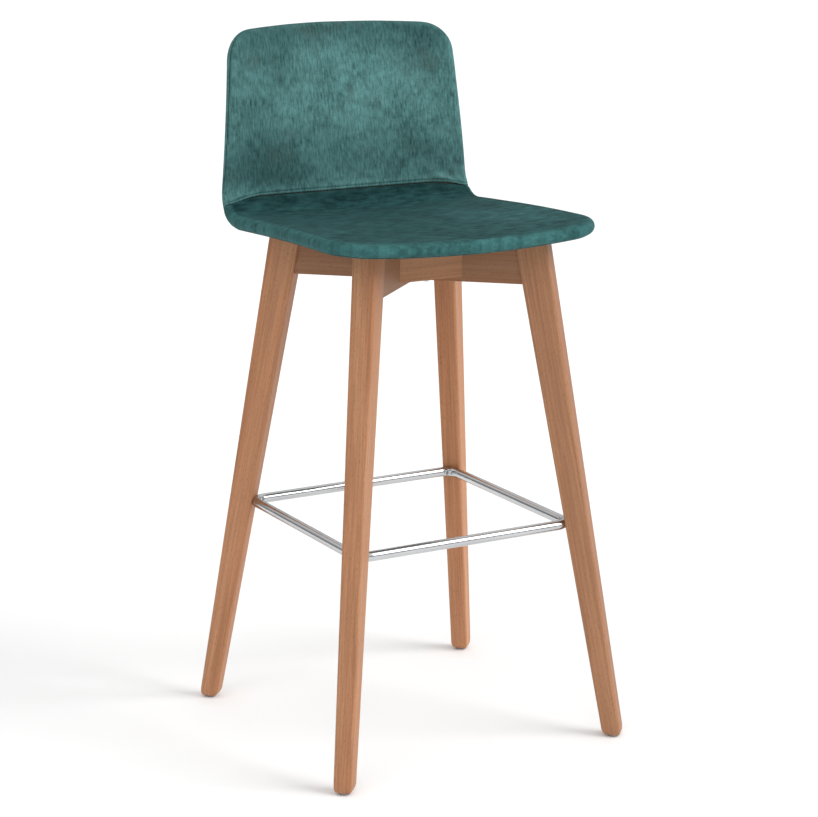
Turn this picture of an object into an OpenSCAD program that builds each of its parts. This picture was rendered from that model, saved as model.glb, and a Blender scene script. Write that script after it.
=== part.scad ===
// Bar stool with a footrest: an upholstered one-piece shell on a splayed beech
// underframe, with a bent steel tube between the legs for the feet.
// Millimetres, +Z up, the front faces -Y. The origin is on the floor, under the
// middle of the stool's overall width and depth.

/* [Shell] */
// Height of the shell's middle surface at its front edge
seat_front_z = 773; // [765:1:785]
// Distance of the front edge ahead of the middle of the feet
seat_front = 197.5; // [190:0.5:205]
// Depth of the seat from its front edge to where the bend starts
seat_depth = 340; // [332:1:346]
// Fall of the seat towards the back, in degrees
seat_slope = 2.75; // [2:0.25:4]
// Extra fall of the front edge
front_drop = 9; // [5:1:10]
// Radius of the bend between seat and back
bend_r = 62; // [56:1:72]
// Lean of the back from upright, in degrees
back_lean = 8.5; // [5:0.5:12]
// How far the top of the back curves away
back_bow = 16; // [8:1:24]
// Height of the middle surface at the top of the back
back_top_z = 1033; // [1015:1:1050]
// Half the width at the front edge, without the rounded rim
front_half_w = 214; // [206:1:222]
// Half the width at the bend
bend_half_w = 203.5; // [196:0.5:208]
// Half the width at the top of the back
top_half_w = 179.5; // [172:0.5:186]
// How far the sides stand up from the middle at the front edge
front_dish = 9; // [5:1:11]
// How far the sides come forward at the bend
bend_dish = 6; // [4:1:9]
// How far the sides wrap forward at the top of the back
top_dish = 44; // [35:1:50]
// Radius of the outline's two front corners
front_corner_r = 49; // [42:1:56]
// Radius of the outline's two top corners
top_corner_r = 30; // [26:1:40]
// How far the front edge bulges in the middle
front_bulge = 12; // [6:1:16]
// How far the top edge rises in the middle
top_bulge = 5; // [3:1:10]

/* [Layers] */
// Radius of the padded rim, which is half the shell's whole thickness
rim_r = 10.5; // [10:0.5:12]
// Thickness of the velvet with its backing
fabric_t = 1; // [0.8:0.1:1.2]
// Thickness of the moulded plywood
ply_t = 11; // [9:0.5:12]

/* [Legs] */
// Half the spacing of the feet from side to side
foot_x = 230.5; // [226:0.5:235]
// Half the spacing of the feet from front to back
foot_y = 224.5; // [220:0.5:229]
// Half the spacing of the leg centre lines at leg_ref_z, from side to side
leg_top_x = 134.5; // [130:0.5:138]
// Half the spacing of the leg centre lines at leg_ref_z, from front to back
leg_top_y = 124; // [120:0.5:128]
// Height at which the two spacings above are measured
leg_ref_z = 759; // [750:1:770]
// Leg width at the top, across the diagonal
leg_w_top = 36; // [34:1:38]
// Leg width at the foot, across the diagonal
leg_w_foot = 27; // [25:1:29]
// Leg depth at the top, along the diagonal
leg_d_top = 47; // [44:1:49]
// Leg depth at the foot, along the diagonal
leg_d_foot = 28; // [26:1:30]
// Rounding of the legs' long edges
leg_edge_r = 4; // [3:0.5:5]

/* [Underframe] */
// Height of the underside of the cross rails
rail_bottom_z = 687; // [682:1:692]
// Thickness of the cross rails
rail_t = 25; // [22:1:28]
// Distance of each corner block's outer face from the middle
block_reach = 65; // [63:1:72]
// Distance of the seat bolts from the middle
bolt_reach = 50; // [46:1:54]

/* [Footrest] */
// Height of the footrest's centre line
rest_z = 327; // [322:1:332]
// Diameter of the footrest tube
rest_d = 15; // [14:0.5:17]
// Half the footrest's width between the tubes' centre lines
rest_half_x = 178.5; // [177:0.5:180]
// Half the footrest's depth between the tubes' centre lines
rest_half_y = 171.5; // [170:0.5:173]
// Bend radius of the footrest's corners, to the centre line
rest_corner_r = 22; // [19:1:24]
// Wall of the footrest tube
rest_wall = 1.5; // [1:0.5:2]

/* [Hidden] */
$fn = 48;

// Colours
beech = [0.78, 0.60, 0.45];
velvet = [0.25, 0.49, 0.48];
velvet_shade = [0.20, 0.41, 0.40];
foam_tint = [0.90, 0.87, 0.76];
ply_tint = [0.80, 0.66, 0.48];
bright_steel = [0.80, 0.81, 0.83];
zinc_tint = [0.70, 0.71, 0.73];
grey_plastic = [0.55, 0.55, 0.56];
dark_rubber = [0.16, 0.16, 0.17];

// Everything is drawn about the middle of the feet, and moved by this much so
// that the origin is under the middle of the overall depth
depth_shift = -10.5;
gap = 0.1;          // clearance between layers that touch
far = 2000;         // longer than any part

corners = [[-1, -1], [1, -1], [-1, 1], [1, 1]];

module place() {
    translate([0, depth_shift, 0]) children();
}

// Everything at the legs is drawn in the back right quarter, and mirrored from
// there into quarter c, which is given by the signs of its X and Y
module quarter(c) {
    mirror([c.x < 0 ? 1 : 0, 0, 0]) mirror([0, c.y < 0 ? 1 : 0, 0]) children();
}

// ---------------------------------------------------------------- legs
foot_dir = atan2(foot_y, foot_x);
foot_reach = norm([foot_x, foot_y]);
// The leg's top, seen along and across the direction of its foot
leg_top_along = leg_top_x * cos(foot_dir) + leg_top_y * sin(foot_dir);
leg_top_across = leg_top_y * cos(foot_dir) - leg_top_x * sin(foot_dir);
splay = atan((foot_reach - leg_top_along) / leg_ref_z);
sideways = atan(leg_top_across / leg_ref_z);
leg_len = leg_ref_z / cos(splay);
glide_t = 3;
glide_d = 18;
foot_shoulder = 14;  // height along the leg of the rounded foot
foot_flat = 19;      // side of the flat under the foot

function leg_width(h) = leg_w_foot + (leg_w_top - leg_w_foot) * h / leg_len;
function leg_depth(h) = leg_d_foot + (leg_d_top - leg_d_foot) * h / leg_len;
// Centre of the leg at height z, as [x, y]
function leg_at(z) =
    [foot_x, foot_y] + ([leg_top_x, leg_top_y] - [foot_x, foot_y]) * z / leg_ref_z;

// Four thin discs that stand at the corners of a rectangular section
module section(depth, width, r) {
    for (c = corners)
        translate([c.x * (depth / 2 - r), c.y * (width / 2 - r), 0])
            cylinder(h = 0.01, r = r, $fn = 32);
}

// Moves to the middle of the foot and tilts Z along the leg, with X away from the
// middle of the stool
module on_foot() {
    translate([foot_x, foot_y, 0]) rotate([0, 0, foot_dir]) children();
}

module leg_section(h) {
    rotate([-sideways, -splay, 0]) translate([0, 0, h])
        section(leg_depth(h), leg_width(h), leg_edge_r);
}

// A level section of the rounded foot, from a = 0 at its flat to 90 at its shoulder
module foot_section(a) {
    z = glide_t + (foot_shoulder - glide_t) * (1 - cos(a));
    translate([-z * tan(splay), 0, z])
        section(
            foot_flat + (leg_depth(z) - foot_flat) * sin(a),
            foot_flat + (leg_width(z) - foot_flat) * sin(a),
            leg_edge_r
        );
}

module leg_blank() {
    on_foot() hull() {
        for (a = [0:30:60]) foot_section(a);
        leg_section(foot_shoulder);
        leg_section(leg_len + 20);
    }
}

module leg(c) {
    color(beech) place() difference() {
        quarter(c) leg_blank();
        above_frame();
        quarter(c) {
            dowel_pair();
            rest_screw_shank();
            on_foot() cylinder(h = nail_top, d = nail_d);
        }
    }
}

// Dowels that join a rail's end to a leg
rail_dir = atan2(leg_top_y, leg_top_x);
dowel_d = 8;
dowel_len = 40;
dowel_z = [703, 727];
module dowel_pair() {
    for (z = dowel_z)
        rotate([0, 0, rail_dir])
            translate([norm(leg_at(z)) - leg_depth(z) / 2 - dowel_len / 2, 0, z])
                rotate([0, 90, 0]) cylinder(h = dowel_len, d = dowel_d);
}

module leg_dowels() {
    color(beech) place() for (c = corners) quarter(c) dowel_pair();
}

// ---------------------------------------------------------------- underframe
rail_top_z = 765;
lap_z = 716;        // where the two crossed rails are halved together
rail_reach = 190;   // past the legs' inner faces, where the ends are fitted

// c: the front corner that the rail runs to, on its way to the opposite back one.
// low: true for the rail that keeps its lower half at the crossing
module cross_rail(c, low) {
    turn = c.x * rail_dir;
    notch_z = low ? lap_z : rail_bottom_z - 1;
    color(beech) place() difference() {
        rotate([0, 0, -turn]) translate([-rail_reach, -rail_t / 2, rail_bottom_z])
            cube([2 * rail_reach, rail_t, rail_top_z - rail_bottom_z]);
        for (end = [c, -c]) quarter(end) {
            leg_blank();
            dowel_pair();
        }
        above_frame();
        rotate([0, 0, turn]) translate([-rail_t, -rail_t / 2, notch_z])
            cube([2 * rail_t, rail_t, low ? 100 : lap_z - notch_z]);
    }
}

// Glued blocks in the four angles of the crossed rails carry the seat bolts
block_bottom_z = rail_bottom_z + 7;
block_tip = 24;     // distance of a block's blunt tip from the middle
pad_t = 2;
bolt_d = 6;
bolt_hole_d = 6.6;

// half_angle: between the block's middle line and the rails beside it
function block_half_w(reach, half_angle) =
    reach * tan(half_angle) - rail_t / 2 / cos(half_angle);

// Each block's direction from the middle, and its half angle
block_dirs = [[0, -1], [0, 1], [-1, 0], [1, 0]];
function block_half_angle(d) = d.x == 0 ? 90 - rail_dir : rail_dir;

module corner_block(d) {
    a = block_half_angle(d);
    color(beech) place() difference() {
        rotate([0, 0, atan2(d.y, d.x)])
            translate([0, 0, block_bottom_z]) linear_extrude(100)
                polygon([
                    [block_tip, -block_half_w(block_tip, a)],
                    [block_reach, -block_half_w(block_reach, a)],
                    [block_reach, block_half_w(block_reach, a)],
                    [block_tip, block_half_w(block_tip, a)]
                ]);
        under_pad(d) translate([-far / 2, -far / 2, 0]) cube([far, far, 200]);
        translate(concat(bolt_reach * d, [0])) cylinder(h = far, d = bolt_hole_d);
    }
}

// ---------------------------------------------------------------- shell surface
// A point of the shell is given by x, across, and s, along the middle line from
// the front edge, down the seat, round the bend and up the back.
bend_sweep = 90 + seat_slope - back_lean;
seat_len = seat_depth / cos(seat_slope);
bend_len = bend_r * bend_sweep * PI / 180;
seat_end = [seat_depth - seat_front, seat_front_z - seat_depth * tan(seat_slope)];
bend_centre = seat_end + bend_r * [sin(seat_slope), cos(seat_slope)];
back_start = bend_centre + bend_r * [cos(back_lean), -sin(back_lean)];
back_len = (back_top_z - back_start[1]) / cos(back_lean);
shell_len = seat_len + bend_len + back_len;
bend_mid = seat_len + bend_len / 2;
seam_s = seat_len + 0.77 * bend_len;

function unit(v) = v / norm(v);

// Middle line, as [y, z], and its direction
function seat_line(q) = [
    [
        seat_depth * q - seat_front,
        seat_front_z - seat_depth * q * tan(seat_slope) - front_drop * pow(1 - q, 3)
    ],
    unit([seat_depth, 3 * front_drop * pow(1 - q, 2) - seat_depth * tan(seat_slope)])
];
function bend_line(a) = [
    bend_centre + bend_r * [cos(a), sin(a)],
    [-sin(a), cos(a)]
];
function back_line(q) = [
    back_start + [
        back_len * q * sin(back_lean) + back_bow * q * q,
        back_len * q * cos(back_lean)
    ],
    unit([back_len * sin(back_lean) + 2 * back_bow * q, back_len * cos(back_lean)])
];
function line(s) =
    s < seat_len ? seat_line(s / seat_len)
    : s < seat_len + bend_len
        ? bend_line((s - seat_len) / bend_r * 180 / PI - 90 - seat_slope)
        : back_line((s - seat_len - bend_len) / back_len);

// A value that runs evenly from front to bend and from bend to top
function along(s, front, bend, top) =
    s < bend_mid
        ? front + (bend - front) * s / bend_mid
        : bend + (top - bend) * (s - bend_mid) / (shell_len - bend_mid);
function half_w(s) = along(s, front_half_w, bend_half_w, top_half_w);
function dish(s) = along(s, front_dish, bend_dish, top_dish);

// The way the sides are dished, as [y, z]: square to the seat, and straight to the
// front on the back
function dish_dir(s, l) =
    let (w = min(1, max(0, (s - seat_len) / bend_len)))
    unit([-(1 - w) * l[1][1] - w, (1 - w) * l[1][0]]);

// A surface point with the directions across, along and out of the sitting side
function shell_at(x, s) =
    let (
        l = line(s),
        d = dish_dir(s, l),
        u = x / half_w(s),
        rise = dish(s) * u * u,
        tip = atan(2 * dish(s) * u / half_w(s)),
        across = [cos(tip), sin(tip) * d[0], sin(tip) * d[1]],
        up = [0, l[1][0], l[1][1]]
    )
    [
        [x, l[0][0] + rise * d[0], l[0][1] + rise * d[1]],
        across,
        up,
        unit(cross(across, up))
    ];

// Height of the underside of the finished shell over a point of the seat
function underside(x, y) = shell_at(x, y + seat_front)[0].z - rim_r;

// The space above the sloping plane that the tops of the wooden parts share
frame_top_z = underside(0, 0) - pad_t - 0.5;
module above_frame() {
    translate([0, 0, frame_top_z]) rotate([-seat_slope, 0, 0])
        translate([-far / 2, -far / 2, 0]) cube([far, far, 200]);
}

// ---------------------------------------------------------------- shell mesh
// A grid of points over the outline: straight columns in the middle, and columns
// that close up towards the sides, where the corners are rounded.
inner_u = 0.77;
half_columns = concat(
    [for (i = [1:4]) inner_u * i / 4],
    [for (a = [22.5:22.5:90]) inner_u + (1 - inner_u) * sin(a)]
);
columns = concat(
    [for (i = [7:-1:0]) -half_columns[i]], [0], half_columns
);
rows = concat(
    [for (i = [0:7]) i / 8 * seat_len / shell_len],
    [for (i = [0:6]) (seat_len + i / 7 * bend_len) / shell_len],
    [for (i = [0:7]) (seat_len + bend_len + i / 7 * back_len) / shell_len]
);
n_c = len(columns);
n_r = len(rows);

// How much a corner of radius r takes off the end of an outline of half width w
function corner_cut(u, w, r) =
    let (e = max(0, (abs(u) * w - w + r) / r))
    r * (1 - sqrt(max(0, 1 - e * e)));
function row_start(u) = corner_cut(u, front_half_w, front_corner_r) + front_bulge * u * u;
function row_end(u) =
    shell_len - corner_cut(u, top_half_w, top_corner_r) - top_bulge * u * u;
function grid_xs(r, c) =
    let (u = columns[c], s = row_start(u) + (row_end(u) - row_start(u)) * rows[r])
    [u * half_w(s), s];
grid = [for (r = [0:n_r - 1]) for (c = [0:n_c - 1]) grid_xs(r, c)];

// The grid's rim, once round, as indexes into the grid
rim = concat(
    [for (c = [0:n_c - 2]) c],
    [for (r = [0:n_r - 2]) r * n_c + n_c - 1],
    [for (c = [n_c - 1:-1:1]) (n_r - 1) * n_c + c],
    [for (r = [n_r - 1:-1:1]) r * n_c]
);
n_rim = len(rim);
// Outward direction of the outline at each rim point, across and along
rim_out = [
    for (k = [0:n_rim - 1])
        let (
            a = grid[rim[(k + n_rim - 1) % n_rim]],
            b = grid[rim[(k + 1) % n_rim]],
            t = unit(b - a)
        )
        [t[1], -t[0]]
];

// The whole grid, moved off the middle surface
function face_points(off) = [
    for (p = grid) let (f = shell_at(p[0], p[1])) f[0] + off * f[3]
];
// The rim moved outwards on a circle of radius r: 0 is straight out, 90 is the
// sitting side and -90 the underside
function rim_points(r, a) = [
    for (k = [0:n_rim - 1])
        let (
            p = grid[rim[k]],
            f = shell_at(p[0], p[1]),
            out = rim_out[k][0] * f[1] + rim_out[k][1] * f[2]
        )
        f[0] + r * (cos(a) * out + sin(a) * f[3])
];

// A closed layer: a first face, loops that run round its rim, and a second face.
// turned swaps the way the triangles face, for a layer that starts underneath
module layer(off_a, loops, off_b, turned) {
    n_face = n_r * n_c;
    n_loops = len(loops);
    start_b = n_face + n_loops * n_rim;
    points = concat(
        face_points(off_a), [for (l = loops) each rim_points(l[0], l[1])], face_points(off_b)
    );
    // Point k of loop j, where loop -1 is the first face's rim and n_loops the second's
    function at(j, k) =
        j < 0 ? rim[k % n_rim]
        : j == n_loops ? start_b + rim[k % n_rim]
        : n_face + j * n_rim + k % n_rim;
    quads_a = [
        for (r = [0:n_r - 2]) for (c = [0:n_c - 2])
            let (i = r * n_c + c)
            each [[i, i + 1, i + n_c + 1], [i, i + n_c + 1, i + n_c]]
    ];
    quads_b = [
        for (t = quads_a) [start_b + t[2], start_b + t[1], start_b + t[0]]
    ];
    sides = [
        for (j = [-1:n_loops - 1]) for (k = [0:n_rim - 1])
            each [
                [at(j, k), at(j + 1, k), at(j + 1, k + 1)],
                [at(j, k), at(j + 1, k + 1), at(j, k + 1)]
            ]
    ];
    faces = concat(quads_a, quads_b, sides);
    polyhedron(points, turned ? [for (f = faces) [f[2], f[1], f[0]]] : faces);
}

core_r = rim_r - fabric_t - gap;    // outside of the plywood and foam
skin_r = rim_r - fabric_t;          // inside of the velvet
ply_top = ply_t - core_r;
seam_a = 30;                        // where the two covers meet on the rim

// The space above the plane in which the seat and back panels are sewn together
module back_of_seam() {
    l = line(seam_s);
    translate([0, l[0][0], l[0][1]])
        rotate([atan2(l[1][1], l[1][0]), 0, 0])
            translate([-far / 2, 0, -far / 2]) cube(far);
}

// ---------------------------------------------------------------- shell parts
tee_flange_d = 19;
tee_flange_t = 1.2;
tee_barrel_d = 8;
tee_recess = 2.2;

function bolt_at(d) = bolt_reach * d;
function ply_top_z(d) = let (p = bolt_at(d)) underside(p.x, p.y) + rim_r + ply_top;

// Moves to the plane, parallel to the seat, that a spacer pad stands on
module under_pad(d) {
    p = bolt_at(d);
    translate([p.x, p.y, underside(p.x, p.y) - pad_t - gap])
        rotate([-seat_slope, 0, 0]) children();
}

module seat_shell() {
    color(ply_tint) place() difference() {
        layer(-core_r, [], ply_top, true);
        for (d = block_dirs) translate(concat(bolt_at(d), [0])) {
            cylinder(h = 900, d = tee_barrel_d);
            translate([0, 0, ply_top_z(d) - tee_recess]) cylinder(h = 40, d = tee_flange_d);
        }
    }
}

module shell_tee_nuts() {
    color(zinc_tint) place() for (d = block_dirs)
        translate(concat(bolt_at(d), [ply_top_z(d) - tee_recess])) difference() {
            union() {
                cylinder(h = tee_flange_t, d = tee_flange_d);
                translate([0, 0, 1 - 8]) cylinder(h = 8, d = tee_barrel_d);
            }
            translate([0, 0, -20]) cylinder(h = 40, d = bolt_d);
        }
}

module shell_foam() {
    layer(
        core_r,
        [for (a = [60:-30:-90]) [core_r, a]],
        ply_top + gap,
        false
    );
}

module seat_foam() {
    color(foam_tint) place() difference() {
        shell_foam();
        back_of_seam();
    }
}

module back_foam() {
    color(foam_tint) place() intersection() {
        shell_foam();
        back_of_seam();
    }
}

// The front velvet, from the sitting side round the rim to the edge seam
module front_cover() {
    layer(rim_r, [[rim_r, 60], [rim_r, seam_a], [skin_r, seam_a], [skin_r, 60]], skin_r, false);
}

module cover_seat() {
    color(velvet_shade) place() difference() {
        front_cover();
        back_of_seam();
    }
}

module cover_back() {
    color(velvet) place() intersection() {
        front_cover();
        back_of_seam();
    }
}

// The velvet under the seat and behind the back, up round the rim to the edge seam
module cover_rear() {
    color(velvet) place() difference() {
        layer(
            -rim_r,
            concat(
                [for (a = [-60:30:seam_a - 1]) [rim_r, a]],
                [[rim_r, seam_a - 1], [skin_r, seam_a - 1]],
                [for (a = [0:-30:-60]) [skin_r, a]]
            ),
            -skin_r,
            true
        );
        for (d = block_dirs) translate(concat(bolt_at(d), [0])) cylinder(h = 800, d = tee_barrel_d);
    }
}

// ---------------------------------------------------------------- fixings
bolt_head_d = 11;
bolt_head_h = 3.3;
washer_d = 18;
washer_t = 1.6;

// A round button head, flat side up at z = 0, with a hexagon socket
module button_head(d, h, socket) {
    difference() {
        rotate_extrude() intersection() {
            translate([0, -h]) square([d / 2, h]);
            translate([0, d * 0.62 - h]) circle(d * 0.62);
        }
        translate([0, 0, -h - 1]) cylinder(h = h * 0.6 + 1, d = socket, $fn = 6);
    }
}

module seat_bolts() {
    color(zinc_tint) place() for (d = block_dirs)
        translate(concat(bolt_at(d), [block_bottom_z - washer_t])) {
            button_head(bolt_head_d, bolt_head_h, 4.6);
            cylinder(h = ply_top_z(d) - tee_recess - block_bottom_z + washer_t, d = bolt_d - 0.2);
        }
}

module seat_washers() {
    color(zinc_tint) place() for (d = block_dirs)
        translate(concat(bolt_at(d), [block_bottom_z - washer_t])) difference() {
            cylinder(h = washer_t, d = washer_d);
            translate([0, 0, -1]) cylinder(h = 4, d = bolt_hole_d);
        }
}

// Rubber pads between the blocks and the shell
module spacer_pads() {
    color(dark_rubber) place() for (d = block_dirs) difference() {
        under_pad(d) cylinder(h = pad_t - 0.5, d = 24);
        translate(concat(bolt_at(d), [0])) cylinder(h = far, d = bolt_hole_d);
    }
}

nail_d = 2.4;
nail_top = 24;
nail_head_z = 1;
module glide_nail() {
    on_foot() translate([0, 0, nail_head_z]) {
        cylinder(h = 1, d = 7);
        cylinder(h = nail_top - nail_head_z, d = nail_d);
    }
}

module glide_nails() {
    color(zinc_tint) place() for (c = corners) quarter(c) glide_nail();
}

module foot_glides() {
    color(grey_plastic) place() for (c = corners) quarter(c) difference() {
        on_foot() rotate_extrude()
            polygon(concat(
                [[0, 0]],
                [for (a = [-90:22.5:0]) [glide_d / 2 - 1.5 + 1.5 * cos(a), 1.5 + 1.5 * sin(a)]],
                [[glide_d / 2, glide_t], [0, glide_t]]
            ));
        glide_nail();
    }
}

// ---------------------------------------------------------------- footrest
rest_diag = norm([rest_half_x, rest_half_y]);
rest_elbow = rest_corner_r * (sqrt(2) - 1);
rest_inner = rest_diag - rest_elbow - rest_d / 2;   // inside of a corner, from the middle
rest_press = 2;                                     // depth of the flat pressed for a screw head
screw_d = 4.8;
screw_len = 36;
rest_dir = atan2(rest_half_y, rest_half_x);

// Moves to the flat pressed for a screw head, with Z out along the screw
module on_rest_corner() {
    rotate([0, 0, rest_dir]) translate([rest_inner + rest_press, 0, rest_z])
        rotate([0, 90, 0]) children();
}

// The shank of one footrest screw, from the pressed flat out into the leg
module rest_screw_shank() {
    on_rest_corner() cylinder(h = screw_len, d = screw_d);
}

// One side of the tube and the elbow at its end
module rest_side(half_along, half_across) {
    run = half_along - rest_corner_r;
    translate([0, -half_across, 0]) {
        rotate([0, 90, 0]) cylinder(h = 2 * run, d = rest_d, center = true);
        translate([run, rest_corner_r, 0]) rotate([0, 0, -90])
            rotate_extrude(angle = 90) translate([rest_corner_r, 0]) circle(d = rest_d);
    }
}

module rest_bore(half_along, half_across) {
    translate([0, -half_across, 0]) rotate([0, 90, 0])
        cylinder(h = 2 * (half_along - rest_corner_r), d = rest_d - 2 * rest_wall, center = true);
}

module footrest_ring() {
    color(bright_steel) place() difference() {
        translate([0, 0, rest_z]) for (turn = [0, 180]) rotate([0, 0, turn]) {
            rest_side(rest_half_x, rest_half_y);
            rotate([0, 0, 90]) rest_side(rest_half_y, rest_half_x);
        }
        translate([0, 0, rest_z]) for (turn = [0, 180]) rotate([0, 0, turn]) {
            rest_bore(rest_half_x, rest_half_y);
            rotate([0, 0, 90]) rest_bore(rest_half_y, rest_half_x);
        }
        for (c = corners) quarter(c) {
            leg_blank();    // presses the outside of the corner flat
            on_rest_corner() translate([0, 0, -20]) cylinder(h = 20, d = 11.5);
            rest_screw_shank();
        }
    }
}

module footrest_screws() {
    color(zinc_tint) place() for (c = corners) quarter(c) {
        on_rest_corner() button_head(9.5, 2.8, 3.6);
        rest_screw_shank();
    }
}

leg([-1, -1]);  // leg_front_left
leg([1, -1]);  // leg_front_right
leg([-1, 1]);  // leg_back_left
leg([1, 1]);  // leg_back_right
cross_rail([-1, -1], true);  // cross_rail_lower
cross_rail([1, -1], false);  // cross_rail_upper
corner_block([0, -1]);  // corner_block_front
corner_block([0, 1]);  // corner_block_back
corner_block([-1, 0]);  // corner_block_left
corner_block([1, 0]);  // corner_block_right
leg_dowels();
footrest_ring();
footrest_screws();
foot_glides();
glide_nails();
seat_shell();
shell_tee_nuts();
seat_bolts();
seat_washers();
spacer_pads();
seat_foam();
back_foam();
cover_seat();
cover_back();
cover_rear();
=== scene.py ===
# %% [markdown]
# # A bar stool with a footrest
#
# This lesson dresses a bar stool: a one-piece seat and back covered in velvet, four
# splayed beech legs under it, and a bent chromed tube for the feet. The hard parts
# come ready made from the workshop model, in metres, with the floor at height zero
# and the front facing -Y. The soft parts are made here, and every part gets its finish.

# %% Load the stool's frame
import math

import bmesh
import bpy
import numpy as np
from mathutils import Matrix, Vector, noise


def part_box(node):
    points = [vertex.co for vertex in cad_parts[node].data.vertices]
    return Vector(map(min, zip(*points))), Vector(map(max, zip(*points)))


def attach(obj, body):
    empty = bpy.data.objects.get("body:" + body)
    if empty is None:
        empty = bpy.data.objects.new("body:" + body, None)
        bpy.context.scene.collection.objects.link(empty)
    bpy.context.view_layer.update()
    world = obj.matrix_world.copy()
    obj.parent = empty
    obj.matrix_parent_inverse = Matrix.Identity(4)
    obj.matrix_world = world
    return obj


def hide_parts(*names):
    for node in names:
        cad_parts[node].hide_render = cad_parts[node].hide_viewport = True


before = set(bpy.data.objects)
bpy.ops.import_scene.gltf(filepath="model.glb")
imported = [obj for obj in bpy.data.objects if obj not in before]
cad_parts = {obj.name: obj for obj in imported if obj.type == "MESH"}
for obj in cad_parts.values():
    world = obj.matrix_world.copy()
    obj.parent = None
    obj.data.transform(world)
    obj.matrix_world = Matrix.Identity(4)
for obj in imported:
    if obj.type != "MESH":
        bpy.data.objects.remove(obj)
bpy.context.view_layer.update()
print("workshop parts:", len(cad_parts))

# %% [markdown]
# ## The camera
#
# A stool is usually pictured from the height of a standing person's chest, from a few
# steps away and a little to one side, with a long lens, so that its legs stay nearly
# straight. The camera is set by the direction it looks from, as an angle round the
# stool and an angle above the floor, and not by typing a position. The point it looks
# at is measured from the middle of the four feet.

# %% Place the camera
def middle(node):
    """Centre of a workshop part's box."""
    low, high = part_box(node)
    return (low + high) / 2


def direction(azimuth, elevation):
    """The way from the stool towards a camera or light, from two angles in degrees."""
    a, e = math.radians(azimuth), math.radians(elevation)
    return Vector((math.sin(a) * math.cos(e), -math.cos(a) * math.cos(e), math.sin(e)))


feet = middle("foot_glides")


def make_camera(target, azimuth, elevation, distance, roll, lens):
    """A camera that looks at target from the given direction, in degrees."""
    back = direction(azimuth, elevation)
    data = bpy.data.cameras.new("portrait_camera")
    data.lens = lens
    data.sensor_width = 36
    camera = bpy.data.objects.new("portrait_camera", data)
    bpy.context.scene.collection.objects.link(camera)
    camera.matrix_world = (
        Matrix.Translation(target + distance * back)
        @ back.to_track_quat("Z", "Y").to_matrix().to_4x4()
        @ Matrix.Rotation(math.radians(roll), 4, "Z")
    )
    return camera


look_at = Vector((0.0005, feet.y - 0.0003, 0.4875))
camera = make_camera(look_at, -29.677, 13.836, 3.588, 0.217, 105.43)
bpy.context.scene.camera = camera
print("camera at", [round(x, 3) for x in camera.location])

# %% [markdown]
# ## The studio
#
# Furniture is shown on a plain pale floor in soft light. One broad light comes from
# the front right, so that the faces of the legs turned that way are the brightest, and
# a weaker one comes from the left. Suns with a wide angle light the whole floor evenly
# and give soft shadows. The sky is bright overhead and darker near the horizon, with a
# dark screen on the left, since chrome only looks like chrome when it has light and
# dark to reflect. Seen directly, the sky is a plain pale backdrop from every side.

# %% A helper that adds shader nodes
def put(tree, kind, wires=None, **settings):
    """Adds a shader node. Settings are its options; wires go to its inputs, each
    a value or another node's output."""
    made = tree.nodes.new("ShaderNode" + kind)
    for name, value in settings.items():
        setattr(made, name, value)
    for name, value in (wires or {}).items():
        if isinstance(value, bpy.types.NodeSocket):
            tree.links.new(value, made.inputs[name])
        else:
            made.inputs[name].default_value = value
    return made


def paint(red, green, blue):
    """A display colour from 0 to 255 as the linear colour that shaders use."""
    parts = []
    for value in (red, green, blue):
        c = value / 255
        parts.append(c / 12.92 if c <= 0.04045 else ((c + 0.055) / 1.055) ** 2.4)
    return (*parts, 1.0)


print("middle grey in linear light:", round(paint(128, 128, 128)[0], 3))

# %% Small node recipes
def stretched(tree, vector, scale):
    """The vector times scale along each axis."""
    return put(tree, "VectorMath", {0: vector, 1: scale}, operation="MULTIPLY").outputs[0]


def clouds(tree, vector, scale, detail=3, roughness=0.5):
    """Soft noise from 0 to 1."""
    wires = {"Vector": vector, "Scale": scale, "Detail": detail, "Roughness": roughness}
    return put(tree, "TexNoise", wires).outputs[0]


def between(tree, value, low, high, to_low=0.0, to_high=1.0):
    """The value's stretch from low to high, moved to to_low and to_high."""
    wires = {"Value": value, "From Min": low, "From Max": high}
    wires.update({"To Min": to_low, "To Max": to_high})
    return put(tree, "MapRange", wires).outputs[0]


def blend_colours(tree, amount, first, second):
    """Two colours mixed by an amount."""
    wires = {0: amount, 6: first, 7: second}
    return put(tree, "Mix", wires, data_type="RGBA").outputs[2]


def calc(tree, how, first, second):
    """One step of arithmetic."""
    return put(tree, "Math", {0: first, 1: second}, operation=how).outputs[0]


def new_group(name, inputs, outputs):
    """An empty node group with named inputs and outputs. Returns the tree, the
    node that brings the inputs in and the node that takes the outputs."""
    tree = bpy.data.node_groups.new(name, "ShaderNodeTree")
    for label, kind, value in inputs:
        socket = tree.interface.new_socket(name=label, in_out="INPUT", socket_type=kind)
        if value is not None:
            socket.default_value = value
    for label, kind in outputs:
        tree.interface.new_socket(name=label, in_out="OUTPUT", socket_type=kind)
    return tree, tree.nodes.new("NodeGroupInput"), tree.nodes.new("NodeGroupOutput")


print("node recipes ready")

# %% Floor, sky and lights
FLOOR_SIZE = 90
SKY_HORIZON = (0.36, 0.36, 0.37, 1)
SKY_TOP = (1.0, 1.0, 1.0, 1)
SKY_LEFT = (0.035, 0.037, 0.040, 1)
SKY_STRENGTH = 0.86
BACKDROP = (0.94, 0.94, 0.94, 1)


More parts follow.
